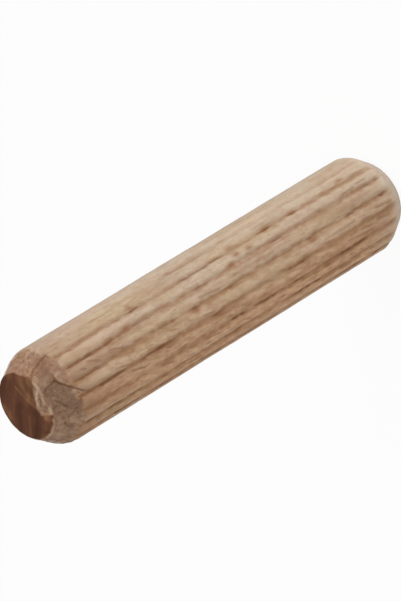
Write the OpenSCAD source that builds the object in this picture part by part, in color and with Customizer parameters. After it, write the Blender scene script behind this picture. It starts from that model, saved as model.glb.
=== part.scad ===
// Fluted wooden dowel pin, standing on one of its end faces.
// The origin is the centre of the lower end face and +Z runs up the axis of the pin.

/* [Pin] */
// Length of the pin from end face to end face
pin_length = 40; // [20:1:80]
// Diameter of the pin over the lands between its flutes
pin_diameter = 8; // [7.5:0.5:12]

/* [Flutes] */
// Number of flutes round the pin
flute_count = 20; // [8:1:24]
// Depth of a flute below the lands
flute_depth = 0.16; // [0.1:0.02:0.3]
// Angle between the two flanks of a flute
flute_angle = 110; // [60:5:120]
// Radius of the root of a flute
flute_root_radius = 0.08; // [0.04:0.01:0.12]

/* [Ends] */
// Length of the chamfer at each end, along the axis
chamfer_length = 2; // [0.5:0.1:5]
// Diameter at which the lower chamfer meets the end face
lower_end_diameter = 5.7; // [4:0.1:7]
// Diameter at which the upper chamfer meets the end face
upper_end_diameter = 5.2; // [4:0.1:7]
// Radius that eases the shoulder between the lands and the chamfer
shoulder_radius = 1.5; // [0.2:0.1:3]
// Radius that eases the rim between the lower chamfer and its end face
lower_rim_radius = 0.8; // [0.2:0.1:1.2]
// Radius that eases the rim between the upper chamfer and its end face
upper_rim_radius = 0.3; // [0.1:0.05:0.5]

/* [Hidden] */
$fn = 96;

pin_radius = pin_diameter / 2;

// Distance from the pin's axis to the centre of a flute's root
root_distance = pin_radius - flute_depth + flute_root_radius;
// Distance that a flute's flanks run outwards, past the lands
flank_length = 2 * flute_depth / cos(flute_angle / 2);

// Unit vector from point a to point b
function toward(a, b) = (b - a) / norm(b - a);

// What a round takes off the corner b of the outline a, b, c
module corner_waste(a, b, c, radius) {
    half = acos(toward(b, a) * toward(b, c)) / 2;
    start = b + toward(b, a) * radius / tan(half);
    end = b + toward(b, c) * radius / tan(half);
    centre = b + toward(b, (start + end) / 2) * radius / sin(half);
    difference() {
        polygon([start, b, end, centre]);
        translate(centre) circle(radius);
    }
}

// One flute across the pin, on +X: two flanks that leave a round root at a tangent
module flute_section() {
    half = flute_angle / 2;
    heel = flute_root_radius * [-sin(half), cos(half)];
    tip = heel + flank_length * [cos(half), sin(half)];
    translate([root_distance, 0]) {
        circle(flute_root_radius);
        polygon([heel, tip, [tip.x, -tip.y], [heel.x, -heel.y]]);
    }
}

// Section across the pin: a round bar with its flutes, and the middle of a land on +X
module fluted_section() {
    difference() {
        circle(pin_radius);
        for (i = [0 : flute_count - 1])
            rotate((i + 0.5) * 360 / flute_count) flute_section();
    }
}

// Half of the section along the pin: a rod with eased chamfers at its ends
module turned_profile() {
    foot = [lower_end_diameter / 2, 0];
    low_shoulder = [pin_radius, chamfer_length];
    high_shoulder = [pin_radius, pin_length - chamfer_length];
    head = [upper_end_diameter / 2, pin_length];
    difference() {
        polygon([[0, 0], foot, low_shoulder, high_shoulder, head, [0, pin_length]]);
        corner_waste([0, 0], foot, low_shoulder, lower_rim_radius);
        corner_waste(foot, low_shoulder, high_shoulder, shoulder_radius);
        corner_waste(low_shoulder, high_shoulder, head, shoulder_radius);
        corner_waste(high_shoulder, head, [0, pin_length], upper_rim_radius);
    }
}

// The pin: the fluted bar cut to the turned form, so that the flutes run out on the chamfers
module dowel_pin() {
    color("burlywood")
    intersection() {
        linear_extrude(pin_length) fluted_section();
        rotate_extrude() turned_profile();
    }
}

dowel_pin();
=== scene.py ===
# %% [markdown]
# A fluted beech dowel pin, standing on one end.
# The pin is a single turned and pressed piece of wood, so the scene has one piece too.
# The solid model gives its size and its place, and this lesson gives it the surface of real wood:
# flutes that wander a little, an end that was crushed when it was chamfered, and a long beech grain.
# The pin's own sizes are in millimetres and become metres where a mesh or a shader takes them.

import bpy
import numpy as np
from mathutils import Matrix, Vector


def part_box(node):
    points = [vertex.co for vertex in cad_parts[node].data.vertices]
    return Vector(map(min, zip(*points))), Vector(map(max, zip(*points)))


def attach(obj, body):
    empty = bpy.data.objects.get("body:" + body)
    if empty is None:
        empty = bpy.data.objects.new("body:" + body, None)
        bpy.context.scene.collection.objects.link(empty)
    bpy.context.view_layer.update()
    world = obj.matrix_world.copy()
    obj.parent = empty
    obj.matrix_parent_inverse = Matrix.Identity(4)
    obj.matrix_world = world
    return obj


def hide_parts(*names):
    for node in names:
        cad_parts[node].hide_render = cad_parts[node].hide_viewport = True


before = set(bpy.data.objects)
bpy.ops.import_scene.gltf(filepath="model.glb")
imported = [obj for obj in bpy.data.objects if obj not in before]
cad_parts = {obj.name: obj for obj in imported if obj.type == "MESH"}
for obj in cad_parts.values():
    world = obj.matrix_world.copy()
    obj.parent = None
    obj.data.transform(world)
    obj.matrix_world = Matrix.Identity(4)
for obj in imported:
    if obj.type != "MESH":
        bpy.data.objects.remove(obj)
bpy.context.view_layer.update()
scene = bpy.context.scene

MM = 0.001
low_corner, high_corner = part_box("dowel_pin")
PIN_LENGTH = round((high_corner.z - low_corner.z) / MM, 3)
PIN_RADIUS = round((high_corner.x - low_corner.x) / MM / 2, 2)
print("pin of radius", PIN_RADIUS, "mm and length", PIN_LENGTH, "mm")

# %% [markdown]
# The pin has a front: the side that faces the camera.
# The real pin was photographed with its sawn end towards the lens, so the wear on that end is
# placed by the angle from this side, from -180 to 180 degrees and clockwise when seen from above.

# %% The side that faces the camera
VIEW_AZIMUTH = -96.8
print("front of the pin at", VIEW_AZIMUTH, "degrees from +X")

# %% [markdown]
# Wood is never even, so nearly every step needs a smooth random field.
# A noise texture could do it in the shader, but the field must also move the mesh, so it is
# worked out here: random numbers on a lattice that closes round the pin, blended smoothly.

# %% A smooth random field round the pin


def smooth_step(low, high, value):
    """0 below low, 1 above high, and 3t^2 - 2t^3 between them."""
    t = np.clip((value - low) / (high - low), 0.0, 1.0)
    return t * t * (3.0 - 2.0 * t)


def uneven(turn, along, cells_round, cells_along, seed):
    """Random lattice values from -1 to 1, blended by the smooth step 3t^2 - 2t^3.

    turn is in radians and closes on itself; along runs from 0 to 1.
    """
    values = np.random.default_rng(seed).uniform(-1.0, 1.0, (cells_round, cells_along + 2))
    across = (turn / (2.0 * np.pi) % 1.0) * cells_round
    upward = np.clip(along, 0.0, 1.0) * cells_along
    column, row = np.floor(across).astype(int), np.floor(upward).astype(int)
    s, t = smooth_step(0.0, 1.0, across - column), smooth_step(0.0, 1.0, upward - row)
    left, right = column % cells_round, (column + 1) % cells_round
    low = values[left, row] * (1.0 - s) + values[right, row] * s
    high = values[left, row + 1] * (1.0 - s) + values[right, row + 1] * s
    return low * (1.0 - t) + high * t


print("field at one place:", round(uneven(1.0, 0.5, 40, 9, 1), 3))

# %% [markdown]
# The blank is turned: a straight rod with a chamfer at each end.
# Its outline is a path of straight runs and tangent arcs from the centre of the lower face,
# out over the rim, up the side and back to the centre of the upper face. A lathe (Screw) modifier
# could spin it, but the flutes and the wear need the path and the turn as two free parameters.

# %% The turned outline
CHAMFER_LENGTH = 2.0
LOWER_END_RADIUS = 2.85
UPPER_END_RADIUS = 2.6
LOWER_SHOULDER_ROUND = 0.8
UPPER_SHOULDER_ROUND = 1.5
LOWER_RIM_ROUND = 0.8
UPPER_RIM_ROUND = 0.3

CORNERS = np.array([
    (0.0, 0.0), (LOWER_END_RADIUS, 0.0), (PIN_RADIUS, CHAMFER_LENGTH),
    (PIN_RADIUS, PIN_LENGTH - CHAMFER_LENGTH), (UPPER_END_RADIUS, PIN_LENGTH), (0.0, PIN_LENGTH)])
ROUNDS = (LOWER_RIM_ROUND, LOWER_SHOULDER_ROUND, UPPER_SHOULDER_ROUND, UPPER_RIM_ROUND)
ARC_STEPS = (4, 8, 14, 9)
RUN_STEPS = (5, 9, 165, 27, 27)


def corner_arc(before, corner, after, radius, steps):
    """Points of the arc that eases a corner: tangent to both runs, swept in equal angles."""
    back = (before - corner) / np.linalg.norm(before - corner)
    ahead = (after - corner) / np.linalg.norm(after - corner)
    half = np.arccos(back @ ahead) / 2.0
    start = corner + back * radius / np.tan(half)
    middle = (back + ahead) / np.linalg.norm(back + ahead)
    centre = corner + middle * radius / np.sin(half)
    first = np.arctan2(*(start - centre)[::-1])
    sweep = np.linspace(first, first + np.pi - 2.0 * half, steps)
    return centre + radius * np.column_stack([np.cos(sweep), np.sin(sweep)])


arcs = [corner_arc(*CORNERS[i:i + 3], ROUNDS[i], ARC_STEPS[i]) for i in range(len(ROUNDS))]
stops = [CORNERS[:1], *arcs, CORNERS[-1:]]
pieces = [CORNERS[:1]]
for start, end, steps in zip(stops[:-1], stops[1:], RUN_STEPS):
    pieces += [np.linspace(start[-1], end[0], steps + 2)[1:-1], end]
path = np.concatenate(pieces)
path_length = np.concatenate([[0.0], np.cumsum(np.hypot(*np.diff(path, axis=0).T))])
print("outline of", len(path), "points,", round(path_length[-1], 2), "mm long")

# %% [markdown]
# Each point of the skin has a turn about the axis and a place on the outline.
# Two arrays hold them for the whole skin at once. The two end points of the outline are poles,
# where a ring shrinks to a single point, so they are left out here and closed with fans later.

# %% The grid of the skin
FLUTES = 20
COLUMNS_PER_FLUTE = 18
COLUMNS = FLUTES * COLUMNS_PER_FLUTE
turn, row = np.meshgrid(np.arange(COLUMNS) * 2.0 * np.pi / COLUMNS, np.arange(1, len(path) - 1))
ring_radius, ring_height = path[row, 0], path[row, 1]
along = ring_height / PIN_LENGTH
front = (VIEW_AZIMUTH - np.degrees(turn) + 180.0) % 360.0 - 180.0
slope = np.gradient(path, axis=0)
slope /= np.linalg.norm(slope, axis=1)[:, None]
normal_out, normal_up = slope[row, 1], -slope[row, 0]
print("skin of", row.shape[0], "rings and", COLUMNS, "columns")

# %% [markdown]
# The flutes let glue and air escape when the pin is driven in.
# They are pressed between rollers, so the wood is squeezed and not cut: roots and edges are round,
# and depth and line wander with the grain. On one side the rollers pressed only lightly.
# A boolean cut would be sharp and even. A formula for the depth keeps the form and the unevenness.

# %% The flutes
FLUTE_DEPTH = 0.16
FLANK_SLOPE = 0.6
ROOT_EASE = 0.06
LAND_EASE = 0.07
SWAY, KINK = 0.08, 0.03
LIGHT_SIDE, LIGHT_SPREAD, LIGHT_SHARE = -66.0, 22.0, 0.75


def soft_above_zero(value, ease):
    """Half of the value plus the root of its square and the ease's: 0 far below, the value far above."""
    return 0.5 * (value + np.sqrt(value * value + ease * ease))


def by_flute(cells_along, seed, each=1):
    """The uneven field over the skin, with one cell or more round the pin for each flute."""
    return uneven(turn, along, FLUTES * each, cells_along, seed)


def flute_place():
    """Distance in mm from the nearest flute's line, which sways slowly and in short kinks."""
    share = turn * FLUTES / (2.0 * np.pi) % 1.0 - 0.5
    sway = SWAY * by_flute(9, 11) + KINK * by_flute(34, 12) + KINK * by_flute(110, 17, 2)
    return share * 2.0 * np.pi * PIN_RADIUS / FLUTES + sway


def flute_cut(aside, depth, below_lands):
    """Depth of the flutes under a skin that already lies below the lands by below_lands.

    Across a flute the depth falls by the flanks' slope times the distance from its line, with a
    hyperbola at the root and a soft edge at the lands.
    """
    vee = depth + FLANK_SLOPE * (ROOT_EASE - np.sqrt(aside * aside + ROOT_EASE * ROOT_EASE))
    return soft_above_zero(vee - below_lands, LAND_EASE)


aside = flute_place()
lightly_pressed = LIGHT_SHARE * np.exp(-((front - LIGHT_SIDE) / LIGHT_SPREAD) ** 2)
uneven_depth = 0.85 + 0.25 * by_flute(12, 13) + 0.2 * by_flute(110, 14)
uneven_depth *= FLUTE_DEPTH * (1.0 - lightly_pressed)
flutes = flute_cut(aside, uneven_depth, PIN_RADIUS - ring_radius)
flutes = np.where(ring_radius < UPPER_END_RADIUS, 0.0, flutes)
flute_share = np.clip(flutes / FLUTE_DEPTH, 0.0, 1.0)
print("flutes up to", round(flutes.max(), 3), "mm deep")

# %% [markdown]
# Glue size, dirt and torn fibres darken the flutes in stretches here and there, and a fainter dark line
# along every root is painted shade.
# Each flute on the front is named by its angle and has its own dark stretches, as on the real pin,
# given in millimetres below the upper end. The flutes out of sight get stretches by chance.

# %% Dark stretches in the flutes
FAINT, PLAIN, DARK = 0.4, 0.65, 1.0
STAINED = {
    -51.8: ((7, 10.8, FAINT), (16, 17.3, FAINT)),
    -33.8: ((2, 3.6, FAINT), (8.2, 9.3, PLAIN), (10.3, 11.5, DARK), (16, 19.5, PLAIN),
            (19.5, 21, DARK), (25.2, 26.8, DARK), (28.6, 29.7, DARK)),
    -15.8: ((2, 7.5, DARK), (7.5, 11.8, PLAIN), (16.5, 18.6, PLAIN), (19.7, 20.7, FAINT),
            (25.3, 26.8, PLAIN), (28.7, 30, FAINT), (35.5, 36.8, PLAIN), (37.3, 38, DARK)),
    2.2: ((2, 5.5, PLAIN), (11.3, 13.5, PLAIN), (15, 16, DARK), (19, 20, PLAIN),
          (23.4, 28.3, FAINT), (28.4, 29.3, DARK), (32.8, 34.9, DARK), (36.5, 37.8, DARK)),
    20.2: ((2, 3.8, PLAIN), (4, 7, DARK), (8.5, 12.5, DARK), (16.8, 18, PLAIN),
           (25.2, 27.8, PLAIN), (35, 37.8, FAINT)),
    38.2: ((4.5, 6, FAINT), (18.5, 20.2, DARK), (21.5, 24, DARK), (25.2, 27, PLAIN),
           (31, 34.5, DARK)),
    56.2: ((2, 3.5, PLAIN), (5, 6.5, DARK), (7.2, 8.7, DARK), (10.5, 11.5, PLAIN),
           (17.8, 19.8, PLAIN), (26, 29.2, DARK)),
}
SHOWN_HALF_ANGLE = 64.0
CHANCE, IN_FLUTE = (0.15, 0.6), (0.15, 0.5)
STAIN_FADE, STAIN_HALF_WIDTH, STAIN_ASIDE, ROOT_SHADE_LEAST = 0.6, 0.11, -0.04, 0.35
drop = PIN_LENGTH - ring_height
by_chance = smooth_step(*CHANCE, by_flute(17, 15))
stained = np.where(np.abs(front) < SHOWN_HALF_ANGLE, 0.0, by_chance)
for line, stretches in STAINED.items():
    near_line = np.abs(front - line) < 180.0 / FLUTES
    for start, end, strength in stretches:
        stretch = smooth_step(start - STAIN_FADE, start + STAIN_FADE, drop)
        stretch *= strength * smooth_step(end + STAIN_FADE, end - STAIN_FADE, drop)
        stained = np.where(near_line, np.maximum(stained, stretch), stained)
stain_width = STAIN_HALF_WIDTH + 0.06 * stained + 0.04 * by_flute(70, 18)
# Painted shade: the least share keeps a faint dark line along every flute's root; the stretches above it
# are dirt.
stain_and_root_shade = ROOT_SHADE_LEAST + (1.0 - ROOT_SHADE_LEAST) * stained
stain_and_root_shade *= 0.75 + 0.25 * by_flute(110, 16, 5)
stain_and_root_shade *= np.exp(-((aside - STAIN_ASIDE) / stain_width) ** 2) * smooth_step(*IN_FLUTE, flute_share)
print("stained share of the skin's points", round((stain_and_root_shade > 0.3).mean(), 3))

# %% [markdown]
# The end that faces the camera was crushed when the chamfer was pressed on.
# On the front a wedge of pale fibres is torn into the dark sawn face. Beside it the chamfer is pressed
# in to a rough hollow, and a crack like an eyebrow bounds the hollow and runs on into a land.
# The brow's dark line is partly a painted shadow along the hollow's edge.
# Sculpting would work too, but formulas of angle and distance can be read, moved and repeated.

# %% Places on the upper end
UPPER_END_FADE = (6.2, 5.6)
END_SPAN = 8.0
WEDGE = ((-1.5, 2.05), (0.3, 0.93), (1.05, 0.93), (1.45, 2.0))
WEDGE_REACH = 4.0

from_top = path_length[-1] - path_length[row]
end_along = from_top / END_SPAN
upper_end = smooth_step(*UPPER_END_FADE, from_top)
end_x = ring_radius * np.sin(np.radians(front))
end_y = ring_radius * np.cos(np.radians(front))
ragged = 0.5 * uneven(turn, end_along, 90, 40, 21) + 0.5 * uneven(turn, end_along, 34, 14, 22)


def beyond_line(start, end):
    """Signed distance from the line through two points of the end face, positive on its left."""
    dx, dy = end[0] - start[0], end[1] - start[1]
    return ((end_y - start[1]) * dx - (end_x - start[0]) * dy) / np.hypot(dx, dy)


wedge = np.min([beyond_line(*ends) for ends in zip(WEDGE[:-1], WEDGE[1:])], axis=0) + 0.1 * ragged
wedge = np.where(from_top < WEDGE_REACH, wedge, -1.0)
print("wedge of pale fibres, deepest", round(wedge[upper_end > 0.5].max(), 2), "mm from its edge")

# %% [markdown]
# Cracks, ridges and coloured marks follow short strokes over the skin, and softer ones are patches.
# A place is an angle from the front and a distance from the face's centre, measured over the rim.
# The distance from every point of the skin to a stroke comes from one formula for each segment.

# %% Strokes and patches
mm_per_degree = ring_radius * np.pi / 180.0


def off_segment(across, upward, dx, dy):
    """Distance to the segment from (0, 0) to (dx, dy), by the clipped share of its nearest point."""
    share = np.clip((across * dx + upward * dy) / (dx * dx + dy * dy), 0.0, 1.0)
    return np.hypot(across - share * dx, upward - share * dy)


def trace(points, half_width, across, upward, scale=1.0):
    """1 on a line through points, falling as a Gaussian of the distance from its nearest segment."""
    gaps = [off_segment(across - x0 * scale, upward - y0, (x1 - x0) * scale, y1 - y0)
            for (x0, y0), (x1, y1) in zip(points[:-1], points[1:])]
    return np.exp(-(np.min(gaps, axis=0) / half_width) ** 2)


def stroke(points, half_width, place=from_top):
    """A trace through points in degrees from the front and mm on the place given."""
    return trace(points, half_width, front * mm_per_degree, place, mm_per_degree)


def hill(across, half_across, upward, half_upward):
    """Gaussian of two distances: 1 in the middle, and 1/e where one of them reaches its half size."""
    return np.exp(-(across / half_across) ** 2 - (upward / half_upward) ** 2)


def patch(angle, distance, half_angle, half_length, place=from_top):
    """1 at an angle from the front and a distance on the place given, falling as a Gaussian hill."""
    return hill(front - angle, half_angle, place - distance, half_length)


def total(shape, rows):
    """Sum of a shape over rows, each a strength and then what the shape takes."""
    return sum(strength * shape(*given) for strength, *given in rows)


def on_upper_end(mask):
    """A mask cut off at 1 and kept to the upper end."""
    return np.clip(mask, 0.0, 1.0) * upper_end


BROW_FOOT = ((-7, 2.55), (-11, 2.9), (-12, 3.35))
BROW_ARCH = ((-13, 3.8), (-4, 4.05), (2, 4.35), (10, 4.9), (15, 5.3), (17, 5.6))
# The first two strokes follow the brow; their dark colour is partly a painted shadow along the hollow's
# edge.
CRACKS = (
    (1, BROW_ARCH, 0.075),
    (0.6, ((1, 2.2), *BROW_FOOT, BROW_ARCH[0]), 0.09),
    (0.7, ((14, 3.1), (20, 3.4), (28, 3.75), (32, 4.05)), 0.07),
    (0.56, ((32, 4.5), (39, 4.1), (43, 3.8)), 0.08),
    (0.56, ((52, 3.5), (58, 3.7), (58, 4.15)), 0.07),
    (0.25, ((-45, 3), (-46, 3.8), (-44, 4.8)), 0.13))
crack_and_brow_shadow = on_upper_end(total(stroke, CRACKS))
print("cracks cover", round(100.0 * (crack_and_brow_shadow > 0.5).mean(), 2), "percent of the skin's points")

# %% [markdown]
# The lands carry marks of their own: thin torn fibres that cross them at a slant, and brown ray flecks.
# The ones on the front are listed one by one, in degrees from the front and mm below the upper end.

# %% Torn fibres and flecks on the lands
TORN_FIBRES = (
    ((-5.5, 3), (-3, 3.6)), ((-9, 4.1), (-3, 5.1)), ((-7, 6.4), (-2, 7.6)),
    ((15.5, 16), (16.5, 17.2)), ((-4.5, 16.4), (-2, 18.6)), ((26, 7.6), (30, 8.8)),
    ((13.5, 30), (12.5, 33.6)), ((12, 36), (14.5, 37.8)), ((29.5, 32.4), (32, 35.2)),
    ((40, 10.6), (44, 11.8)), ((-20.5, 34), (-21, 35.2)), ((24, 17.4), (26, 18.6)),
    ((25, 35.8), (27, 37.2)), ((41.5, 15.8), (43.5, 17.2)), ((-22.5, 35.6), (-22, 36.6)),
    ((61, 14), (63, 15.4)))
FLECKS = (
    (-38, 10.7), (-34.5, 26), (-34, 29.2), (-38, 34.8), (7.5, 29), (6, 15.6), (-25, 22),
    (-24, 23.4), (-19, 9), (-18, 21), (22, 27.2), (42, 29.8), (-38, 22.1))
TORN_HALF_WIDTH = 0.09
FLECK_HALF_WIDTH, FLECK_HALF_LENGTH = 0.21, 0.4


def fleck(angle, place):
    """Gaussian hill with a ragged edge at an angle from the front and a place below the upper end."""
    across = (front - angle) * mm_per_degree + 0.06 * ragged
    return hill(across, FLECK_HALF_WIDTH, drop - place, FLECK_HALF_LENGTH)


torn = sum(stroke(line, TORN_HALF_WIDTH, drop) for line in TORN_FIBRES)
torn = np.clip(torn, 0.0, 1.0) * (1.0 - upper_end)
flecked = np.max([fleck(*place) for place in FLECKS], axis=0) * (1.0 - upper_end)
print(len(TORN_FIBRES), "torn fibres and", len(FLECKS), "flecks on the front")

# %% [markdown]
# Broad soft patches of the wood are paler or browner than the rest.
# They are placed in the same way, each with a half size in degrees and one in mm.

# %% Paler and browner patches
PALER = (
    (13, 21, 5, 4), (13, 30, 5, 4), (12, 4, 5, 1.8), (-29, 2.8, 5, 1),
    (19, 22, 5, 3.5), (-12.5, 30.5, 3, 1.2), (35, 10.8, 3, 1.2), (50, 2.8, 4, 1.5),
    (-56, 26, 6, 3), (45, 37, 25, 2), (-27, 6, 4, 2.5), (-30, 35, 3, 2.5),
    (-47, 35, 4, 2.5), (53, 16.5, 3, 3.5), (40, 32, 2.5, 1), (16, 14, 3, 1.2),
    (-38, 21.5, 4, 1.5), (12, 25.5, 4, 2.5))
BROWNER = (
    (-37.5, 27, 3.5, 2), (-42, 26, 3, 1), (-43, 14.5, 4.5, 2.5), (-51, 18.5, 5, 4),
    (-12, 8, 3, 4), (-12, 15, 2.6, 5), (-12, 23, 2.4, 4), (-19, 10, 4, 3),
    (-18, 26, 2.6, 4), (-18, 31, 2.6, 2.5), (6, 12.5, 2.4, 3.5), (6, 30.5, 2.4, 3.5),
    (-6, 34, 5, 3), (-6, 22, 3, 4), (22.5, 8.5, 3.5, 3), (23, 11.5, 3.5, 2.5),
    (24.5, 17.5, 3, 1.5), (32.5, 21, 3, 4.5), (33, 29, 3, 5.5), (33, 35, 4, 2),
    (26, 36, 4, 2), (-5, 5.5, 5, 2.5), (5, 36, 4, 1.5), (-35, 6, 3, 3),
    (41, 36.3, 3, 1.2), (-3, 1.9, 4, 0.6), (-31, 11, 3, 1.5))
paler, browner = (np.max([patch(*place, drop) for place in places], axis=0) for places in (PALER, BROWNER))
print(len(PALER), "paler and", len(BROWNER), "browner patches")

# %% [markdown]
# Colour varies over the crushed end too: ruddy bruises, plum-coloured marks and pale raised lips, and
# parts are painted:
# the ruddy marks paint shade on the middle facet and in the temple crease, the plum ones shade in the
# hollow by the brow, and the lips a highlight on their crests.
# They are patches and strokes as well, kept apart so that the finish can give each its own colour.

# %% Coloured marks of the upper end
# Partly painted shade: the first stroke darkens the temple crease, and the patches near -34 and -40
# degrees the middle facet, which faces away from the lamp.
RUDDY_AND_SHADE_STROKES = (
    (1, ((-45, 3), (-46, 3.4), (-46, 3.8), (-46, 4.2), (-44, 4.8)), 0.16),
    (0.9, ((-3, 1.7), (6, 1.57), (14, 1.4)), 0.09))
RUDDY_AND_SHADE_PATCHES = (
    (0.6, -40, 4.4, 4, 0.35), (0.75, -34, 4, 8, 0.6), (0.5, -88, 4, 8, 0.35),
    (0.5, -81, 4.2, 4, 0.15), (0.5, 80, 4.1, 9, 0.3), (0.7, -4, 4.7, 6, 0.3),
    (0.4, 21, 1.9, 7, 0.2))
PLUM_STROKES = ((0.35, ((39, 4.1), (40, 4.7)), 0.12),)
# Partly painted shade: the patches at -3 and 2 degrees darken the hollow beside the brow's foot.
PLUM_AND_SHADE_PATCHES = (
    (0.7, 52, 3.3, 4, 0.2), (0.5, 65, 3.45, 5, 0.12), (0.4, 32, 4.5, 3, 0.2),
    (0.8, -3, 2.95, 8, 0.4), (0.6, 58, 4, 5, 0.25), (0.5, 15, 3.1, 5, 0.12),
    (0.5, 2, 3.3, 8, 0.25), (0.45, -30, 3.5, 9, 0.6))
# Painted highlight: the lips are raised ridges painted pale, partly pale torn fibres and partly the light
# on their crests.
LIP_STROKES = (
    (1, ((-36, 2.5), (-25.5, 2.38), (-21.5, 2.22), (-17.5, 1.8), (-8, 1.35), (12, 1.1)), 0.11),
    (0.75, ((-22, 2.4), (-10.5, 2.12), (-2, 1.97), (12, 1.8)), 0.1),
    (0.68, ((25, 2.25), (30, 2.3), (36, 2.38), (44, 2.47), (50, 2.55)), 0.16),
    (0.8, ((42, 2.44), (49, 2.48), (65, 2.65), (90, 2.68)), 0.12))
LIP_PATCHES = ((0.3, 76, 3.6, 13, 0.8),)
ruddy_and_painted_shade = on_upper_end(total(stroke, RUDDY_AND_SHADE_STROKES) + total(patch, RUDDY_AND_SHADE_PATCHES))
plum_and_hollow_shade = on_upper_end(total(stroke, PLUM_STROKES) + total(patch, PLUM_AND_SHADE_PATCHES))
lip_and_highlight = on_upper_end(total(stroke, LIP_STROKES) + total(patch, LIP_PATCHES))
print("ruddy, plum and pale marks:", [round(float(mask.mean()), 4) for mask in (ruddy_and_painted_shade, plum_and_hollow_shade, lip_and_highlight)])

# %% [markdown]
# The sawn face is brown and burnished, and it isn't even either.
# A pale sliver runs across it to the notch of the wedge. Seen from the camera, the darkest parts lie
# behind the sliver, and most of the golden ones in front of it. A few specks are rust-coloured.
# Each is a soft spot or a stroke on the plane of the face, in mm.

# %% Shades of the sawn face
SLIVER, SLIVER_HALF_WIDTH = ((-1.55, 0.02), (-0.82, 0.26), (-0.26, 0.58), (0.62, 0.92)), 0.06
SLIVER_END = (1.38, 1.22, 0.2, 0.18)
SHADE_STROKES = (
    (0.7, ((-0.4, -0.6), (-0.3, -0.9), (1.2, -2)), 0.36),
    (0.8, ((0.6, 0.5), (1.3, 0), (2.3, -1)), 0.42),
    (0.65, ((-1.6, -1.9), (-1.9, -1.4), (-2.3, -0.6)), 0.5))
SHADE_SPOTS = ((0.5, 2.2, 0.3, 0.4, 0.5),)
GOLDEN_STROKES = (
    (0.8, ((-1.5, 0.8), (-0.9, 0.85), (-0.3, 1)), 0.3),
    (0.6, ((0.6, -0.4), (1.7, -1.3)), 0.16),
    (0.5, ((-0.9, -2.2), (0, -2.2)), 0.25))
GOLDEN_SPOTS = (
    (1, -1.6, 1.65, 0.5, 0.45), (0.8, -0.35, 0.6, 0.4, 0.3), (0.6, -2.05, 0.95, 0.35, 0.4),
    (1, 1.5, 1.55, 0.32, 0.35))
GOLDEN_RIM = ((0.8, ((-89, 3.7), (-89, 4.1), (-86, 4.32), (-77, 4.6), (-70, 4.86)), 0.12),)
GOLDEN_PATCHES = ((0.6, -80, 4.15, 6, 0.15),)
RUST_STROKES = ((0.7, ((-0.9, -0.8), (-0.2, -1.65)), 0.1),)
RUST_SPOTS = ((0.4, 1.5, 1.5, 0.25, 0.3), (0.8, -2.4, 0.2, 0.25, 0.4))


def spot(x, y, half_x, half_y):
    """1 at a place on the plane of the end face, falling as a Gaussian hill with two half sizes in mm."""
    return hill(end_x - x, half_x, end_y - y, half_y)


def face_stroke(points, half_width):
    """A trace through points on the plane of the end face."""
    return trace(points, half_width, end_x, end_y)


sliver = face_stroke(SLIVER, SLIVER_HALF_WIDTH) * (0.65 + 0.35 * uneven(turn, end_along, 40, 40, 23))
sliver = np.maximum(sliver, spot(*SLIVER_END)) * upper_end
shade = on_upper_end(total(face_stroke, SHADE_STROKES) + total(spot, SHADE_SPOTS))
golden = total(face_stroke, GOLDEN_STROKES) + total(spot, GOLDEN_SPOTS)
golden = on_upper_end(golden + total(stroke, GOLDEN_RIM) + total(patch, GOLDEN_PATCHES))
ruddy_and_painted_shade = np.maximum(ruddy_and_painted_shade, on_upper_end(total(face_stroke, RUST_STROKES) + total(spot, RUST_SPOTS)))
print("mean shade of the sawn face", round(shade[from_top < UPPER_END_RADIUS].mean(), 2))

# %% [markdown]
# Each effect is a depth that is taken off, so nothing stands out past the solid's box.
# Nothing may stand out past the solid's box, so each effect is a depth that is taken off.
# The hollow has a sharp edge at the brow, and its other sides fade out. A lip only lessens the depth.

# %% Depths of the wear
CRUSH_START, CRUSH_FADE = (2.52, 2.72), 0.6
CRUSH_ANGLES = (-90, -73, -54, -36, -14, 4, 17, 36, 54, 68, 90)
CRUSH_ENDS = (4.9, 4.8, 4.7, 5.05, 4.8, 4.85, 4.9, 5.2, 4.9, 4.65, 4.8)
GRIT_DEPTH, LUMP_DEPTH, HOLLOW_DEPTH, CRACK_DEPTH = 0.03, 0.06, 0.11, 0.06
WEDGE_STEP, WEDGE_DEPTH, LIP_HEIGHT = 0.08, 0.16, 0.035
WEDGE_EDGE, STEP_EDGE, DEEP_EDGE, LIP_EDGE = (-0.06, 0.12), (0.0, 0.25), (0.4, 1.5), (0.0, 0.1)
WEDGE_FADE, BROW_EDGE, HOLLOW_SIDE = (4.6, 3.4), (-1.0, 2.5), (52.0, 24.0)
HOLLOW_START, HOLLOW_END = (2.1, 2.9), (5.4, 4.6)
TEMPLE_ANGLE, TEMPLE_SPREAD, TEMPLE_DEPTH = -47.0, 5.0, 0.05

crush_end = np.interp(front, CRUSH_ANGLES, CRUSH_ENDS)
torn_edge = from_top + 0.6 * ragged + 0.3 * flute_share
crushed = smooth_step(*CRUSH_START, from_top + 0.05 * ragged)
crushed *= smooth_step(crush_end + CRUSH_FADE, crush_end - CRUSH_FADE, torn_edge)
crushed = np.maximum(crushed, smooth_step(*WEDGE_EDGE, wedge)) * upper_end

brow_angles, brow_places = np.transpose(BROW_FOOT + BROW_ARCH)
past_brow = front - np.interp(from_top, brow_places, brow_angles)
hollow = smooth_step(*BROW_EDGE, past_brow) * smooth_step(*HOLLOW_SIDE, front) * upper_end
hollow *= smooth_step(*HOLLOW_START, from_top) * smooth_step(*HOLLOW_END, from_top + 0.4 * ragged)

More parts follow.
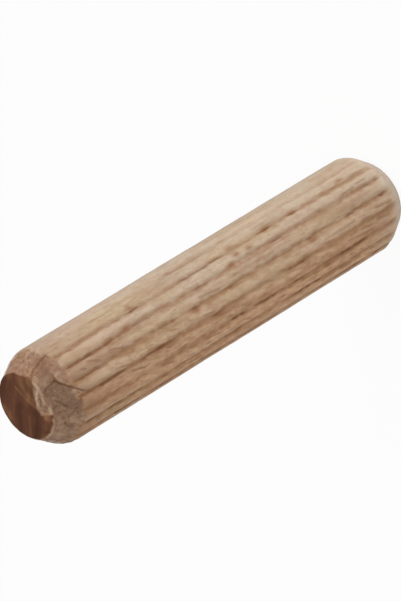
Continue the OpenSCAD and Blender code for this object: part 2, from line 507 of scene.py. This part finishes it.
grit = 0.5 + 0.5 * uneven(turn, end_along, 170, 100, 31)
lumps = 0.5 + 0.5 * uneven(turn, end_along, 60, 36, 32)
temple = np.exp(-((front - TEMPLE_ANGLE) / TEMPLE_SPREAD) ** 2) * upper_end
wear = crushed * (GRIT_DEPTH * grit + LUMP_DEPTH * lumps + TEMPLE_DEPTH * temple)
wear += HOLLOW_DEPTH * hollow + CRACK_DEPTH * crack_and_brow_shadow
dip = WEDGE_STEP * smooth_step(*STEP_EDGE, wedge) + WEDGE_DEPTH * smooth_step(*DEEP_EDGE, wedge)
wear += dip * smooth_step(*WEDGE_FADE, from_top) * upper_end
wear -= LIP_HEIGHT * lip_and_highlight * smooth_step(*LIP_EDGE, wedge)
wear = np.maximum(wear, 0.0)
print("wear up to", round(wear.max(), 3), "mm deep")

# %% [markdown]
# Both ends were sawn and chamfered a little askew, because the rod sat loosely in the cutter.
# At the lower end the chamfer is longer on one side. At the upper end the sawn face lies off the axis,
# so its rim at the back reaches further out.

# %% Ends that sit askew
LOWER_END_FADE = (7.5, 6.0)
LOPSIDED, LOW_SIDE, LOPSIDED_FADE = 0.3, -42.0, (9.0, 2.5)
RIM_WIDER, RIM_OFF_AXIS, RIM_SIDE, RIM_FADE = 0.22, 0.19, -95.0, (50.0, 90.0)
CHAMFER_START, CHAMFER_END, LOWER_GRIT_DEPTH = (2.75, 3.1), (5.9, 4.3), 0.02
from_bottom = path_length[row]
lower_end = smooth_step(*LOWER_END_FADE, from_bottom)
lopsided = -LOPSIDED * np.cos(np.radians(front - LOW_SIDE)) * ring_radius / PIN_RADIUS
lopsided *= smooth_step(0.0, CHAMFER_LENGTH, ring_height) * smooth_step(*LOPSIDED_FADE, ring_height)
wider = RIM_WIDER + RIM_OFF_AXIS * np.cos(np.radians(front - RIM_SIDE))
wider *= smooth_step(*RIM_FADE, np.abs(front)) * upper_end
chamfer_share = (PIN_RADIUS - ring_radius) / (PIN_RADIUS - UPPER_END_RADIUS)
wider *= np.minimum(ring_radius / UPPER_END_RADIUS, chamfer_share)
lower_chamfer = smooth_step(*CHAMFER_START, from_bottom) * lower_end
lower_chamfer *= smooth_step(*CHAMFER_END, from_bottom + 0.2 * flute_share + 0.35 * ragged)
lower_grit = 0.5 + 0.5 * uneven(turn, from_bottom / END_SPAN, 120, 60, 41)
wear += LOWER_GRIT_DEPTH * lower_chamfer * lower_grit
print("back rim wider by up to", round(wider.max(), 2), "mm")

# %% [markdown]
# Long fibres give the lands a faint relief that runs up the pin.
# It is about two hundredths of a millimetre at most, but it breaks the light on the lands.

# %% Fibre relief on the lands
FIBRE_DEPTH = 0.012
SIDE_FADE = (PIN_RADIUS - 0.6, PIN_RADIUS - 0.1)
fibres = np.maximum(uneven(turn, along, 150, 20, 51), 0.0)
fibres += np.maximum(uneven(turn, along, 120, 80, 52), 0.0)
side = smooth_step(*SIDE_FADE, ring_radius)
relief = FIBRE_DEPTH * fibres * side
depth = wear + relief
skin_radius = ring_radius + wider - flutes - depth * normal_out
skin_height = ring_height + lopsided - depth * normal_up
print("fibre relief up to", round(relief.max(), 3), "mm deep")

# %% [markdown]
# Now the skin becomes a mesh.
# The rings are joined by quads, the last column is joined to the first so that no seam is left,
# and each pole gets a fan of triangles. Face numbers are whole arrays too.

# %% Put the skin into a mesh


def skin_mesh(name, radius, height, turn):
    """Mesh of a closed skin: quads between rings, a fan of triangles at each pole."""
    rings, columns = radius.shape
    points = np.stack([radius * np.cos(turn), radius * np.sin(turn), height], axis=-1).reshape(-1, 3)
    poles = np.array([(0.0, 0.0, height[0].mean()), (0.0, 0.0, height[-1].mean())])
    number = np.arange(rings * columns).reshape(rings, columns)
    beside = np.roll(number, -1, axis=1)
    quads = np.stack([number[:-1], beside[:-1], beside[1:], number[1:]], axis=-1).reshape(-1, 4)
    bottom, top = rings * columns, rings * columns + 1
    low_fan = np.stack([np.full(columns, bottom), beside[0], number[0]], axis=-1)
    high_fan = np.stack([np.full(columns, top), number[-1], beside[-1]], axis=-1)
    faces = quads.tolist() + low_fan.tolist() + high_fan.tolist()
    mesh = bpy.data.meshes.new(name)
    mesh.from_pydata(np.concatenate([points, poles]) * MM, [], faces)
    mesh.shade_smooth()
    return mesh


pin_mesh = skin_mesh("beech_dowel", skin_radius, skin_height, turn)
pin = bpy.data.objects.new("beech_dowel", pin_mesh)
scene.collection.objects.link(pin)
print("beech_dowel has", len(pin_mesh.polygons), "faces")

# %% [markdown]
# The finish changes over the pin: pale lands, dark flutes, a crushed grey chamfer, a brown face.
# The mesh carries these as named values for each point, so the shader can blend them.
# Some are worked out here first: the dark flanks of the flutes, which are partly painted shade, the sawn
# faces with their ragged rims, the smooth lower chamfer, which is partly a painted highlight, and the
# lands, which get painted edge shade and sheen where they are seen edge-on.

# %% Marks that the finish reads
POLE_MARKS = {"burnished": 1.0, "shade": 0.3}
FLANK_MIDDLE, FLANK_HALF_WIDTH = -0.06, 0.33
SAWN_LOW, SAWN_HIGH, SAWN_WEDGE, SHADED_WEDGE = (2.95, 2.75), (2.75, 2.52), (0.12, -0.1), (0.1, 0.5)
RIM_IN, RIM_IN_FADE = 0.08, (20.0, 45.0)
RIM_OUT, RIM_OUT_ANGLE, RIM_OUT_SPREAD = 0.12, -46.0, 10.0
CHAMFER_HIGHLIGHT_AT_BACK, CHAMFER_HIGHLIGHT_FADE, EDGE_SHADE_ON_CHAMFER = 0.45, (110.0, 60.0), 0.35


def mark_points(mesh, name, values, pole):
    """Stores one value for each point of the skin, and one for both poles, which come last."""
    attribute = mesh.attributes.new(name, "FLOAT", "POINT")
    attribute.data.foreach_set("value", np.append(values.ravel(), [pole, pole]).astype(np.float32))


# Painted shade: the flanks of the flutes are darkened, more on the flank turned from the key lamp, and
# less on the lightly pressed side, where the lamp falls.
flank_middle = FLANK_MIDDLE + 0.08 * by_flute(40, 63)
flank_half_width = FLANK_HALF_WIDTH + 0.1 * by_flute(36, 62)
flank_shade = np.exp(-((aside - flank_middle) / flank_half_width) ** 2) * (1.0 - lightly_pressed)
flank_shade *= 0.75 + 0.22 * by_flute(9, 61) + 0.2 * by_flute(110, 64, 3)
# Painted shade in the deep part of the wedge; it is stored in the hollow's mark.
wedge_shade = 0.5 * smooth_step(*SHADED_WEDGE, wedge) * upper_end
sawn_low = smooth_step(*SAWN_LOW, from_bottom + 0.1 * ragged) * lower_end
rim_shift = RIM_IN * smooth_step(*RIM_IN_FADE, front)
rim_shift -= RIM_OUT * np.exp(-((front - RIM_OUT_ANGLE) / RIM_OUT_SPREAD) ** 2)
sawn_high = smooth_step(*SAWN_HIGH, from_top + 0.12 * ragged + rim_shift)
sawn_high *= smooth_step(*SAWN_WEDGE, wedge) * upper_end
# Painted highlight: the smooth lower chamfer is painted pale, partly its own burnish and partly a painted
# highlight, fuller on the camera's side than at the back.
smooth = CHAMFER_HIGHLIGHT_AT_BACK + (1.0 - CHAMFER_HIGHLIGHT_AT_BACK) * smooth_step(*CHAMFER_HIGHLIGHT_FADE, np.abs(front))
smooth *= lower_chamfer
# Painted edge shade and sheen: the lands away from the flute flanks, and the lower chamfer in part, turn
# grey where seen edge-on.
fuzzy = np.maximum(side * (1.0 - np.clip(flank_shade, 0.0, 1.0)), EDGE_SHADE_ON_CHAMFER * lower_chamfer)
MARKS = {
    "flute": flank_shade, "stain_and_root_shade": stain_and_root_shade, "crushed": crushed, "smooth": smooth, "crack_and_brow_shadow": crack_and_brow_shadow, "lip_and_highlight": lip_and_highlight,
    "burnished": np.maximum(sawn_low, sawn_high), "hollow": np.maximum(hollow, wedge_shade),
    "paler": paler, "browner": browner, "fuzzy": fuzzy, "torn": torn, "fleck": flecked,
    "ruddy_and_painted_shade": ruddy_and_painted_shade, "plum_and_hollow_shade": plum_and_hollow_shade, "golden": golden, "shade": shade, "sliver": sliver,
}
for name, values in MARKS.items():
    mark_points(pin_mesh, name, values, POLE_MARKS.get(name, 0.0))
print("marks:", sorted(MARKS))

# %% [markdown]
# Short helpers keep the material readable.
# Each one adds a node, sets its inputs and links what is passed as a socket.

# %% Helpers for shader nodes


def add_node(tree, kind, inputs=(), **settings):
    """Adds a node, sets its properties, then sets or links each (input, value) pair."""
    node = tree.nodes.new(kind)
    for key, value in settings.items():
        setattr(node, key, value)
    for key, value in dict(inputs).items():
        if isinstance(value, bpy.types.NodeSocket):
            tree.links.new(value, node.inputs[key])
        else:
            node.inputs[key].default_value = value
    return node


def math_node(tree, operation, first, second):
    """Output of a Math node on two values or sockets."""
    return add_node(tree, "ShaderNodeMath", {0: first, 1: second}, operation=operation).outputs[0]


def vector_node(tree, operation, first, second):
    """Vector Math node on two vectors or sockets."""
    return add_node(tree, "ShaderNodeVectorMath", {0: first, 1: second}, operation=operation)


def remap(tree, value, low, high, to_low=0.0, to_high=1.0):
    """Output of a smooth Map Range from low..high to to_low..to_high."""
    numbers = {"Value": value, "From Min": low, "From Max": high, "To Min": to_low, "To Max": to_high}
    return add_node(tree, "ShaderNodeMapRange", numbers, interpolation_type="SMOOTHSTEP").outputs["Result"]


def blend(tree, share, first, second):
    """Colour output of a Mix node: first where share is 0, second where it is 1."""
    return add_node(tree, "ShaderNodeMix", {0: share, 6: first, 7: second}, data_type="RGBA").outputs[2]


def object_place(tree):
    """Object coordinates: metres in the shared frame, or a direction in the world's shader."""
    return add_node(tree, "ShaderNodeTexCoord").outputs["Object"]


def colour(red, green, blue):
    """Linear colour with alpha from an 8-bit display colour, by the display's power curve."""
    shares = np.array([red, green, blue]) / 255.0
    linear = np.where(shares <= 0.04045, shares / 12.92, ((shares + 0.055) / 1.055) ** 2.4)
    return (*linear.tolist(), 1.0)


def new_group(name, inputs, output):
    """A shader node group with float inputs {name: default} and one float output."""
    tree = bpy.data.node_groups.new(name, "ShaderNodeTree")
    for key, value in inputs.items():
        tree.interface.new_socket(key, in_out="INPUT", socket_type="NodeSocketFloat").default_value = value
    tree.interface.new_socket(output, in_out="OUTPUT", socket_type="NodeSocketFloat")
    return tree, tree.nodes.new("NodeGroupInput").outputs, tree.nodes.new("NodeGroupOutput").inputs[output]


def drawn_out(tree, place, cells, stretch):
    """A place counted in cells for each metre across the grain, and in fewer by the stretch along it."""
    upward = math_node(tree, "DIVIDE", cells, stretch)
    scale = add_node(tree, "ShaderNodeCombineXYZ", {"X": cells, "Y": cells, "Z": upward}).outputs[0]
    return vector_node(tree, "MULTIPLY", place, scale).outputs[0]


print("beech land colour in linear light:", [round(c, 3) for c in colour(200, 172, 143)[:3]])

# %% [markdown]
# Beech fibres run up the pin, so every grain pattern is the same noise, drawn out along Z.
# One group does it at any fineness: the coordinates are counted in cells for each millimetre
# across the grain, and divided by the stretch along it. A slight lean lets the grain drift.

# %% Group: long fibres
GRAIN_LEAN = (-0.035, -0.07, 0.0)
NOISE_ROUGHNESS = 0.6


def long_fibres_group():
    """Noise in cells of 1 / Fineness mm across the grain and Stretch times as long along it."""
    numbers = {"Fineness": 4.0, "Stretch": 12.0, "Detail": 3.0, "Seed": 0.0}
    tree, given, result = new_group("long_fibres", numbers, "Value")
    leaning = add_node(tree, "ShaderNodeMapping", {"Vector": object_place(tree), "Rotation": GRAIN_LEAN})
    cells = math_node(tree, "MULTIPLY", given["Fineness"], 1.0 / MM)
    noise = add_node(tree, "ShaderNodeTexNoise", {
        "Vector": drawn_out(tree, leaning.outputs[0], cells, given["Stretch"]), "W": given["Seed"],
        "Scale": 1.0, "Detail": given["Detail"], "Roughness": NOISE_ROUGHNESS}, noise_dimensions="4D")
    tree.links.new(noise.outputs[0], result)
    return tree


long_fibres = long_fibres_group()
print("long_fibres has", len(long_fibres.nodes), "nodes")

# %% [markdown]
# The short brown dashes of beech are its rays, cut across.
# A Voronoi cell pattern drawn out along the grain gives one dash for each cell, and the cell's own
# random colour decides whether the dash is there at all.

# %% Group: ray flecks
DASH_CORE = 0.4


def ray_flecks_group():
    """Dashes Size mm wide and Stretch times as long, kept in the given Share of the cells."""
    numbers = {"Spacing": 0.8, "Stretch": 6.0, "Size": 0.12, "Share": 0.3}
    tree, given, result = new_group("ray_flecks", numbers, "Mask")
    cells = math_node(tree, "DIVIDE", 1.0 / MM, given["Spacing"])
    stretched = drawn_out(tree, object_place(tree), cells, given["Stretch"])
    dots = add_node(tree, "ShaderNodeTexVoronoi", {"Vector": stretched, "Scale": 1.0})
    reach = math_node(tree, "DIVIDE", given["Size"], given["Spacing"])
    inside = remap(tree, dots.outputs["Distance"], reach, math_node(tree, "MULTIPLY", reach, DASH_CORE))
    chance = add_node(tree, "ShaderNodeSeparateColor", {"Color": dots.outputs["Color"]}).outputs[0]
    kept = math_node(tree, "LESS_THAN", chance, given["Share"])
    tree.links.new(math_node(tree, "MULTIPLY", inside, kept), result)
    return tree


ray_flecks = ray_flecks_group()
print("ray_flecks has", len(ray_flecks.nodes), "nodes")

# %% [markdown]
# Dark flutes and crushed wood don't end in a smooth edge: single fibres reach over it.
# This group moves a mask up and down by a noise of fibres before its edge is sharpened.
# Outside the mask nothing is moved, so that no stray fibres appear there.

# %% Group: frayed edge
EDGE_LOW, EDGE_HIGH = 0.15, 0.85


def frayed_edge_group():
    """Mask plus Fray times the noise less a half, times 0 where there is no mask, then sharpened."""
    tree, given, result = new_group("frayed_edge", {"Mask": 0.0, "Noise": 0.5, "Fray": 0.5}, "Frayed")
    push = math_node(tree, "MULTIPLY", math_node(tree, "SUBTRACT", given["Noise"], 0.5), given["Fray"])
    moved = math_node(tree, "ADD", given["Mask"], push)
    moved = math_node(tree, "MULTIPLY", moved, remap(tree, given["Mask"], 0.0, EDGE_LOW))
    tree.links.new(remap(tree, moved, EDGE_LOW, EDGE_HIGH), result)
    return tree


frayed_edge = frayed_edge_group()
print("frayed_edge has", len(frayed_edge.nodes), "nodes")

# %% [markdown]
# The beech finish is built up in layers.
# A layer is a mask, a share of its strength and a colour. The mask is a pattern of fibres or a mark
# on the mesh, and a share can itself follow a value.

# %% Layers of colour


def use_group(tree, group, **values):
    """First output of a node group placed in a material with its own values or links."""
    return add_node(tree, "ShaderNodeGroup", values, node_tree=group).outputs[0]


def strands(tree, fineness, stretch, detail, seed):
    """Noise of long fibres at a fineness, stretch, detail and seed."""
    return use_group(tree, long_fibres, Fineness=fineness, Stretch=stretch, Detail=detail, Seed=seed)


def grain(tree, fineness, stretch, detail, seed, low, high):
    """Mask of one pattern of fibres: 0 where its noise is below low, 1 where it is above high."""
    return remap(tree, strands(tree, fineness, stretch, detail, seed), low, high)


def mark(tree, name):
    """Value of a named mark on the mesh."""
    return add_node(tree, "ShaderNodeAttribute", attribute_name=name).outputs["Fac"]


def frayed_mark(tree, name, noise, fray):
    """A named mark whose edge breaks up into fibres."""
    return use_group(tree, frayed_edge, Mask=mark(tree, name), Noise=noise, Fray=fray)


def layered(tree, base, *layers):
    """The base colour under layers of (mask, share, display colour); a mask can be the name of a mark."""
    for mask, share, shade in layers:
        value = mark(tree, mask) if isinstance(mask, str) else mask
        base = blend(tree, math_node(tree, "MULTIPLY", value, share), base, colour(*shade))
    return base


print("layers read", len(MARKS), "marks and", len(bpy.data.node_groups), "groups")

# %% [markdown]
# Lands and flutes show the long grain. One side of the pin is painted pale and greyer and the other warm:
# painted light on the side towards the key lamp and painted shade on the side away from it.
# Over that lie rosy and olive streaks, mottling, dark and pale fibres, pores, flecks and patches,
# and last the dark flutes, which are partly painted shade.
# Towards the upper end the wood is browner, and near the floor it is paler.

# %% Colour of the long grain
# The painted pale side faces the key lamp, at nearly the lamp's azimuth.
LIT_SIDE_AZIMUTH, LIT_SIDE_FROM = -35.0, -0.4
TOP_BROWN, RIM_BROWN, FLOOR_PALE = (10.0, 2.0), (5.0, 2.2), (7.0, 1.0)


def direction(azimuth, elevation):
    """Unit vector to a place at an azimuth from +X and an elevation above the floor, in degrees."""
    turned, raised = np.radians(azimuth), np.radians(elevation)
    return Vector((np.cos(raised) * np.cos(turned), np.cos(raised) * np.sin(turned), np.sin(raised)))


def long_grain_colour(tree):
    """A painted pale lit side and a warm shaded side, blended across the pin under layers of fibres,
    flecks, patches and stains.
    """
    place = object_place(tree)
    height = add_node(tree, "ShaderNodeSeparateXYZ", {0: place}).outputs["Z"]
    across = vector_node(tree, "DOT_PRODUCT", place, direction(LIT_SIDE_AZIMUTH, 0.0)).outputs["Value"]
    # Painted light and shade: paleness grows towards the key lamp's side, so that side is painted pale and
    # the far side warm.
    lit_side_paleness = remap(tree, across, LIT_SIDE_FROM * PIN_RADIUS * MM, PIN_RADIUS * MM)
    rosy = grain(tree, 1, 8, 4, 1, 0.42, 0.6)
    olive = grain(tree, 0.8, 7, 4, 12, 0.44, 0.62)
    mottled = grain(tree, 3, 2.5, 4, 8, 0.38, 0.64)
    pale_fibres = grain(tree, 4, 4, 3, 13, 0.54, 0.7)
    dark_fibres = grain(tree, 4.5, 7, 4, 2, 0.52, 0.7)
    pores = grain(tree, 7, 2.5, 2, 14, 0.54, 0.7)
    near_top = remap(tree, height, *((PIN_LENGTH - mm) * MM for mm in TOP_BROWN))
    near_rim = remap(tree, height, *((PIN_LENGTH - mm) * MM for mm in RIM_BROWN))
    near_floor = remap(tree, height, *(mm * MM for mm in FLOOR_PALE))
    specks = use_group(tree, ray_flecks, Spacing=0.8, Stretch=1.8, Size=0.2, Share=0.35)
    flecks = use_group(tree, ray_flecks, Spacing=0.55, Stretch=3.5, Size=0.11, Share=0.25)
    frays = strands(tree, 4, 14, 4, 15)
    warm_shaded_side = layered(tree, colour(218, 178, 141), (rosy, 0.55, (200, 149, 117)))
    pale = layered(tree, colour(203, 184, 161), (rosy, 0.35, (192, 160, 140)))
    return layered(
        tree, blend(tree, lit_side_paleness, warm_shaded_side, pale),
        (olive, 0.4, (184, 156, 112)),
        # Towards the lit side the painted paleness also thins the mottling, dark fibres and rim browning,
        # and strengthens the pale end near the floor.
        (mottled, remap(tree, lit_side_paleness, 0.3, 0.95, 0.5, 0.25), (160, 120, 90)),
        (pale_fibres, 0.3, (216, 194, 166)),
        (dark_fibres, remap(tree, lit_side_paleness, 0.3, 0.95, 0.55, 0.25), (140, 92, 62)),
        (pores, 0.25, (136, 98, 70)),
        (near_top, 0.26, (152, 114, 92)),
        (near_rim, remap(tree, lit_side_paleness, 0.5, 1.0, 0.4, 0.1), (148, 112, 86)),
        (near_floor, remap(tree, lit_side_paleness, 0.1, 0.6, 0.15, 0.4), (206, 184, 160)),
        (specks, 0.3, (194, 132, 100)),
        (flecks, 0.4, (150, 98, 66)),
        ("fleck", 0.75, (150, 96, 62)),
        ("torn", 0.5, (120, 78, 50)),
        ("paler", 0.4, (214, 188, 160)),
        ("browner", 0.4, (142, 98, 68)),
        # The flute layer is partly painted shade in the flutes.
        (frayed_mark(tree, "flute", frays, 0.5), 0.6, (146, 103, 68)),
        # The stain layer is dirt in stretches and painted shade along the roots.
        (frayed_mark(tree, "stain_and_root_shade", frays, 0.4), 0.7, (108, 66, 40)))


# The pale side is painted light: it faces the key lamp.
print("pale side of the wood at", LIT_SIDE_AZIMUTH, "degrees from +X")

# %% [markdown]
# The crushed chamfer is felted: its fibres lie in all directions, so the noise is hardly drawn out.
# It is greyer in the hollow, whose mark also holds painted shade in the deep part of the wedge, and it
# carries the ruddy, plum, golden and pale marks.
# The sawn face shows end grain. Its bands slant across the face, so its noise is turned about the axis.

# %% Colours of the crushed and the sawn wood
BAND_TURN = (0.0, 0.0, np.radians(52.0))
BAND_CELLS = Vector((0.4, 1.8, 1.0)) / MM


def crushed_colour(tree):
    """Two browns blended by felted noise, under layers of blotches, marks, pale glints and dark specks."""
    felt = grain(tree, 2.2, 1.2, 5, 4, 0.36, 0.64)
    blotch = grain(tree, 1.5, 1.2, 3, 17, 0.42, 0.6)
    glints = grain(tree, 5, 1.4, 3, 10, 0.54, 0.72)
    specks = grain(tree, 3.6, 1.3, 4, 9, 0.5, 0.66)
    return layered(
        tree, blend(tree, felt, colour(174, 144, 117), colour(146, 112, 89)),
        (blotch, 0.35, (152, 116, 100)),
        # The hollow layer also paints shade into the deep part of the wedge.
        ("hollow", 0.76, (122, 95, 76)),
        # The ruddy layer is partly painted shade on the middle facet and in the temple crease.
        ("ruddy_and_painted_shade", 0.78, (122, 84, 63)),
        # The plum layer is partly painted shade in the hollow beside the brow.
        ("plum_and_hollow_shade", 0.3, (116, 85, 80)),
        ("golden", 0.6, (164, 116, 76)),
        (glints, 0.3, (196, 166, 138)),
        (specks, 0.5, (104, 74, 54)),
        # The lip layer is partly a painted highlight on the ridges.
        ("lip_and_highlight", 0.85, (200, 172, 147)))


def burnished_colour(tree):
    """Red-brown end grain under layers of marks and slanting bands, with a pale sliver on top."""
    turned = add_node(tree, "ShaderNodeMapping", {"Vector": object_place(tree), "Rotation": BAND_TURN})
    bands = vector_node(tree, "MULTIPLY", turned.outputs[0], BAND_CELLS).outputs[0]
    ripple = add_node(tree, "ShaderNodeTexNoise", {
        "Vector": bands, "Scale": 1.0, "Detail": 4.0, "Roughness": NOISE_ROUGHNESS}).outputs[0]
    return layered(
        tree, colour(101, 64, 45),
        ("golden", 0.62, (150, 108, 74)),
        ("ruddy_and_painted_shade", 0.6, (134, 84, 62)),
        ("shade", 0.92, (72, 43, 30)),
        (remap(tree, ripple, 0.46, 0.66), 0.4, (72, 42, 28)),
        (remap(tree, ripple, 0.46, 0.3), 0.22, (152, 106, 74)),
        ("sliver", 0.5, (180, 130, 92)))


print("end grain bands", round(1.0 / (BAND_CELLS.y * MM), 2), "mm wide")

# %% [markdown]
# The three colours meet in one material, and cracks darken them; along the brow the dark line is also a
# painted shadow.
# Where the skin is seen edge-on, a grey on the lands and a pale colour on the crushed chamfer grow with
# the angle of view: painted edge shade and sheen on the lands, and a painted edge highlight on the
# chamfer.
# The wood is unvarnished, so it stays rough. The sawn face is burnished by the blade and shines a little
# more.

# %% Material: bare beech
ROUGH, BURNISHED_ROUGH = 0.8, 0.62
SHINE = 0.06
BUMP_STRENGTH, BUMP_HEIGHT = 0.6, 0.05
LAND_EDGE_SHADE, CHAMFER_EDGE_HIGHLIGHT = (0.6, 0.88, 0.0, 0.42), (0.74, 0.92, 0.0, 0.6)


def beech_material():
    """Bare beech: one shader whose colour, roughness and bump follow the marks on the mesh."""
    material = bpy.data.materials.new("bare_beech")
    material.use_nodes = True
    tree = material.node_tree
    shader = tree.nodes["Principled BSDF"]
    worn = mark(tree, "burnished")
    # The smooth layer paints the lower chamfer pale, partly as a painted highlight.
    wood = layered(tree, long_grain_colour(tree), ("smooth", 0.7, (226, 210, 192)))
    felted = frayed_mark(tree, "crushed", strands(tree, 3, 2.5, 4, 16), 1.2)
    wood = blend(tree, felted, wood, crushed_colour(tree))
    wood = blend(tree, worn, wood, burnished_colour(tree))
    edge_on = add_node(tree, "ShaderNodeLayerWeight", {"Blend": 0.5}).outputs["Facing"]
    wood = layered(
        tree, wood,
        # The crack layer also paints the shadow line along the brow.
        ("crack_and_brow_shadow", 0.75, (92, 58, 36)),
        # Painted edge shade and sheen on the lands, and a painted edge highlight on the crushed chamfer,
        # by the angle of view.
        ("fuzzy", remap(tree, edge_on, *LAND_EDGE_SHADE), (168, 160, 154)),
        ("crushed", remap(tree, edge_on, *CHAMFER_EDGE_HIGHLIGHT), (214, 204, 194)))
    tree.links.new(wood, shader.inputs["Base Color"])
    tree.links.new(remap(tree, worn, 0.0, 1.0, ROUGH, BURNISHED_ROUGH), shader.inputs["Roughness"])
    shader.inputs["Specular IOR Level"].default_value = SHINE
    fine, rough = strands(tree, 7, 14, 2, 6), strands(tree, 6, 1.2, 3, 7)
    height = add_node(tree, "ShaderNodeMix", {0: mark(tree, "crushed"), 2: fine, 3: rough}).outputs[0]
    bump = add_node(tree, "ShaderNodeBump", {
        "Height": height, "Strength": BUMP_STRENGTH, "Distance": BUMP_HEIGHT * MM})
    tree.links.new(bump.outputs[0], shader.inputs["Normal"])
    return material


bare_beech = beech_material()
pin_mesh.materials.append(bare_beech)
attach(pin, "root")
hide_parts("dowel_pin")
print("bare_beech has", len(bare_beech.node_tree.nodes), "nodes")

# %% [markdown]
# The stage is a plain white floor.
# To the camera it is a white card with the pin's soft shadow; to the pin it is an ordinary floor.

# %% Floor
FLOOR_SIDE = 1.5
FLOOR_GREY, FLOOR_ROUGH = 0.86, 0.9
WHITE_SHARE = 0.93
WHITE = (1.0, 1.0, 1.0, 1.0)


def seen_rays(tree):
    """1 for rays that come from the camera, a reflection or a transmission, and 0 for light on the pin."""
    ray = add_node(tree, "ShaderNodeLightPath").outputs
    mirrored = math_node(tree, "MAXIMUM", ray["Is Glossy Ray"], ray["Is Transmission Ray"])
    return math_node(tree, "MAXIMUM", ray["Is Camera Ray"], mirrored)


def floor_material():
    """White floor: part plain white for the camera, part a lit surface that keeps the shadow."""
    material = bpy.data.materials.new("white_floor")
    material.use_nodes = True
    tree = material.node_tree
    shader, output = tree.nodes["Principled BSDF"], tree.nodes["Material Output"]
    shader.inputs["Base Color"].default_value = (FLOOR_GREY, FLOOR_GREY, FLOOR_GREY, 1.0)
    shader.inputs["Roughness"].default_value = FLOOR_ROUGH
    shader.inputs["Specular IOR Level"].default_value = 0.0
    card = add_node(tree, "ShaderNodeEmission", {"Color": WHITE, "Strength": 1.0})
    share = math_node(tree, "MULTIPLY", seen_rays(tree), WHITE_SHARE)
    mix = add_node(tree, "ShaderNodeMixShader", {0: share, 1: shader.outputs[0], 2: card.outputs[0]})
    tree.links.new(mix.outputs[0], output.inputs["Surface"])
    return material


half = FLOOR_SIDE / 2.0
floor_corners = [(-half, -half, 0.0), (half, -half, 0.0), (half, half, 0.0), (-half, half, 0.0)]
floor_mesh = bpy.data.meshes.new("floor")
floor_mesh.from_pydata(floor_corners, [], [(0, 1, 2, 3)])
floor_mesh.materials.append(floor_material())
floor = bpy.data.objects.new("floor", floor_mesh)
scene.collection.objects.link(floor)
print("floor", FLOOR_SIDE, "m square")

# %% [markdown]
# Soft studio light: a white room that is brighter on the camera's side, and one large lamp to the right.
# In the photograph the light comes from the top of the picture, which is a side of the standing pin,
# so the lamp is placed there by azimuth and elevation. A level of 1 lights a white surface fully.

# %% Light
PIN_MIDDLE = Vector((0.0, 0.0, PIN_LENGTH * MM / 2.0))
ROOM_LEVEL, ROOM_LEAN = 0.64, 0.4
BRIGHT_AZIMUTH, BRIGHT_ELEVATION = VIEW_AZIMUTH + 30.0, 15.0
KEY_AZIMUTH, KEY_ELEVATION = -34.0, 24.0
KEY_DISTANCE, KEY_SIDE, KEY_LEVEL = 0.6, 0.35, 0.36

world = bpy.data.worlds.new("white_room")
world.use_nodes = True
room = world.node_tree
bright_side = direction(BRIGHT_AZIMUTH, BRIGHT_ELEVATION)
ahead = vector_node(room, "DOT_PRODUCT", object_place(room), bright_side).outputs["Value"]
glow = math_node(room, "ADD", math_node(room, "MULTIPLY", ahead, ROOM_LEVEL * ROOM_LEAN), ROOM_LEVEL)
strength = add_node(room, "ShaderNodeMix", {0: seen_rays(room), 2: glow, 3: 1.0}).outputs[0]
background = room.nodes["Background"].inputs
room.links.new(strength, background["Strength"])
background["Color"].default_value = WHITE
scene.world = world

lamp = bpy.data.lights.new("key_lamp", "AREA")
lamp.shape, lamp.size = "SQUARE", KEY_SIDE
lamp.energy = KEY_LEVEL * np.pi ** 2 * KEY_DISTANCE ** 2
towards = direction(KEY_AZIMUTH, KEY_ELEVATION)
key = bpy.data.objects.new("key_lamp", lamp)
key.location = PIN_MIDDLE + towards * KEY_DISTANCE
key.rotation_euler = towards.to_track_quat("Z", "Y").to_euler()
scene.collection.objects.link(key)
print("room level", ROOM_LEVEL, "and key lamp", round(lamp.energy, 2), "W")

# %% [markdown]
# The camera looks down on the pin's sawn end through a long lens.
# The picture shows the pin lying across it, so the camera is rolled: its own up is the pin's side.

# %% Camera
VIEW_ELEVATION = 38.89
VIEW_ROLL = -121.47
VIEW_DISTANCE = 0.5641
FOCAL_LENGTH, SENSOR_WIDTH = 441.1, 36.0
NEAREST, FARTHEST = 0.01, 10.0
AIM = Vector((0.116, 0.197, 20.26)) * MM

view = bpy.data.cameras.new("view")
view.lens, view.sensor_width = FOCAL_LENGTH, SENSOR_WIDTH
view.clip_start, view.clip_end = NEAREST, FARTHEST
camera = bpy.data.objects.new("view", view)
back = direction(VIEW_AZIMUTH, VIEW_ELEVATION)
right = Vector((0.0, 0.0, 1.0)).cross(back).normalized()
level = Matrix((right, back.cross(right), back)).transposed()
rolled = level @ Matrix.Rotation(np.radians(VIEW_ROLL), 3, "Z")
camera.matrix_world = Matrix.Translation(AIM + back * VIEW_DISTANCE) @ rolled.to_4x4()
scene.collection.objects.link(camera)
scene.camera = camera
scene.view_settings.view_transform = "Standard"
print("camera at", [round(c, 4) for c in camera.matrix_world.translation])
